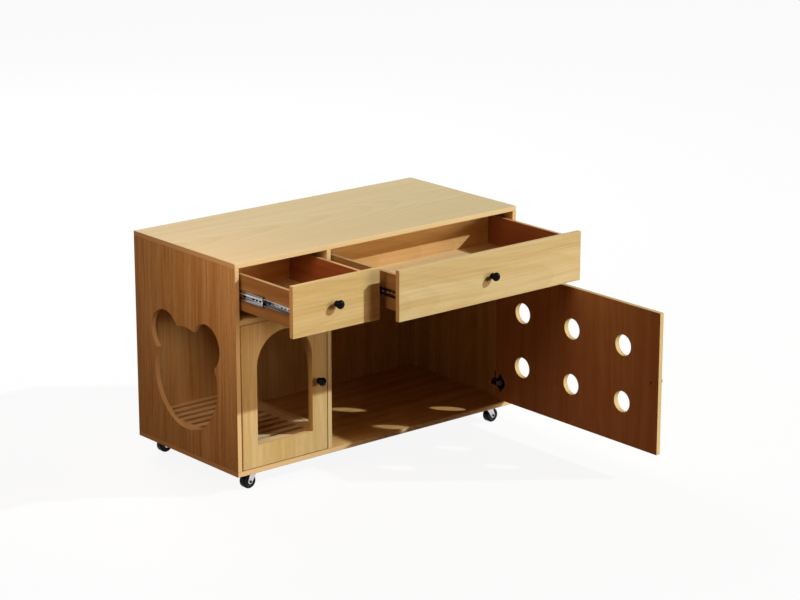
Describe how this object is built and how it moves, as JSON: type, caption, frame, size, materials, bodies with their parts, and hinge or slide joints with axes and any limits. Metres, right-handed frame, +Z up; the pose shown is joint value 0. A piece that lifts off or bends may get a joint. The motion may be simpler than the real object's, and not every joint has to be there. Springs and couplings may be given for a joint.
{
  "type": "litter box enclosure",
  "caption": "Low wooden litter box enclosure on casters: bear-shaped side entry, slatted floor, arched door, vented door and drawers on slides.",
  "frame": {"origin": "on the floor below the middle of the case's footprint", "axes": "+Z up, the front with the doors and drawers faces -Y, +X to the right seen from the front"},
  "size_m": [1.06, 1.1565, 0.684],
  "materials": {
    "oak_laminate": "satin laminate",
    "oak_back": "matt laminate",
    "oak_drawer": "satin laminate",
    "beech": "bare",
    "zinc_steel": "bright zinc",
    "nickel": "black nickel plated",
    "chrome": "polished",
    "black_plastic": "satin",
    "black_knob": "gloss black",
    "black_rubber": "semi-gloss"
  },
  "bodies": {
    "cabinet": {"top_panel": "oak_laminate", "bottom_panel": "oak_laminate", "left_side_panel": "oak_laminate", "right_side_panel": "oak_laminate", "back_panel": "oak_back", "divider_panel": "oak_laminate", "left_shelf": "oak_laminate", "right_shelf": "oak_laminate", "slatted_floor": "oak_laminate", "floor_bearers": "oak_laminate", "wood_dowels": "beech", "cam_locks": "zinc_steel", "cam_bolts": "zinc_steel", "case_screws": "zinc_steel", "small_drawer_rails": "zinc_steel", "large_drawer_rails": "zinc_steel", "left_door_hinge_arms": "nickel", "right_door_hinge_arms": "nickel", "hardware_screws": "zinc_steel", "caster_plates": "chrome"},
    "small_drawer": {"small_drawer_front": "oak_laminate", "small_drawer_left_side": "oak_drawer", "small_drawer_right_side": "oak_drawer", "small_drawer_back": "oak_drawer", "small_drawer_bottom": "oak_drawer", "small_drawer_knob": "black_knob", "small_drawer_screws": "zinc_steel", "small_drawer_runners": "zinc_steel", "small_drawer_release_levers": "black_plastic"},
    "small_drawer_slides": {"small_drawer_slide_middles": "zinc_steel"},
    "large_drawer": {"large_drawer_front": "oak_laminate", "large_drawer_left_side": "oak_drawer", "large_drawer_right_side": "oak_drawer", "large_drawer_back": "oak_drawer", "large_drawer_bottom": "oak_drawer", "large_drawer_knob": "black_knob", "large_drawer_screws": "zinc_steel", "large_drawer_runners": "zinc_steel", "large_drawer_release_levers": "black_plastic"},
    "large_drawer_slides": {"large_drawer_slide_middles": "zinc_steel"},
    "left_door": {"left_door_panel": "oak_laminate", "left_door_knob": "black_knob", "left_door_screws": "zinc_steel", "left_door_hinge_cups": "nickel"},
    "right_door": {"right_door_panel": "oak_laminate", "right_door_knob": "black_knob", "right_door_screws": "zinc_steel", "right_door_hinge_cups": "nickel"},
    "front_left_caster_swivel": {"front_left_caster_fork": "chrome"},
    "front_left_caster_wheel": {"front_left_caster_tyre": "black_rubber", "front_left_caster_hub": "black_plastic"},
    "rear_left_caster_swivel": {"rear_left_caster_fork": "chrome"},
    "rear_left_caster_wheel": {"rear_left_caster_tyre": "black_rubber", "rear_left_caster_hub": "black_plastic"},
    "front_right_caster_swivel": {"front_right_caster_fork": "chrome"},
    "front_right_caster_wheel": {"front_right_caster_tyre": "black_rubber", "front_right_caster_hub": "black_plastic"},
    "rear_right_caster_swivel": {"rear_right_caster_fork": "chrome"},
    "rear_right_caster_wheel": {"rear_right_caster_tyre": "black_rubber", "rear_right_caster_hub": "black_plastic"}
  },
  "joints": [
    {"name": "small_drawer_travel", "type": "slide", "parent": "cabinet", "child": "small_drawer", "axis": [0, -1, 0], "range_m": [-0.241, 0.105]},
    {"name": "small_drawer_slide_travel", "type": "slide", "parent": "cabinet", "child": "small_drawer_slides", "axis": [0, -1, 0], "range_m": [-0.1205, 0.0525]},
    {"name": "large_drawer_travel", "type": "slide", "parent": "cabinet", "child": "large_drawer", "axis": [0, -1, 0], "range_m": [-0.302, 0.044]},
    {"name": "large_drawer_slide_travel", "type": "slide", "parent": "cabinet", "child": "large_drawer_slides", "axis": [0, -1, 0], "range_m": [-0.151, 0.022]},
    {"name": "left_door_swing", "type": "hinge", "parent": "cabinet", "child": "left_door", "pos_m": [-0.488, -0.2355, 0.285], "axis": [0, 0, -1], "range_deg": [0, 95]},
    {"name": "right_door_swing", "type": "hinge", "parent": "cabinet", "child": "right_door", "pos_m": [0.488, -0.2355, 0.285], "axis": [0, 0, 1], "range_deg": [-90, 5]},
    {"name": "front_left_caster_turn", "type": "hinge", "parent": "cabinet", "child": "front_left_caster_swivel", "pos_m": [-0.455, -0.2075, 0.049], "axis": [0, 0, 1], "continuous": true},
    {"name": "front_left_caster_roll", "type": "hinge", "parent": "front_left_caster_swivel", "child": "front_left_caster_wheel", "pos_m": [-0.468, -0.2075, 0.0218], "axis": [0, 1, 0], "continuous": true},
    {"name": "rear_left_caster_turn", "type": "hinge", "parent": "cabinet", "child": "rear_left_caster_swivel", "pos_m": [-0.455, 0.2075, 0.049], "axis": [0, 0, 1], "continuous": true},
    {"name": "rear_left_caster_roll", "type": "hinge", "parent": "rear_left_caster_swivel", "child": "rear_left_caster_wheel", "pos_m": [-0.468, 0.2075, 0.0218], "axis": [0, 1, 0], "continuous": true},
    {"name": "front_right_caster_turn", "type": "hinge", "parent": "cabinet", "child": "front_right_caster_swivel", "pos_m": [0.455, -0.2075, 0.049], "axis": [0, 0, 1], "continuous": true},
    {"name": "front_right_caster_roll", "type": "hinge", "parent": "front_right_caster_swivel", "child": "front_right_caster_wheel", "pos_m": [0.468, -0.2075, 0.0218], "axis": [0, 1, 0], "continuous": true},
    {"name": "rear_right_caster_turn", "type": "hinge", "parent": "cabinet", "child": "rear_right_caster_swivel", "pos_m": [0.455, 0.2075, 0.049], "axis": [0, 0, 1], "continuous": true},
    {"name": "rear_right_caster_roll", "type": "hinge", "parent": "rear_right_caster_swivel", "child": "rear_right_caster_wheel", "pos_m": [0.468, 0.2075, 0.0218], "axis": [0, 1, 0], "continuous": true}
  ],
  "couplings": [
    {"joint": "small_drawer_slide_travel", "follows": "small_drawer_travel", "ratio": 0.5},
    {"joint": "large_drawer_slide_travel", "follows": "large_drawer_travel", "ratio": 0.5}
  ]
}
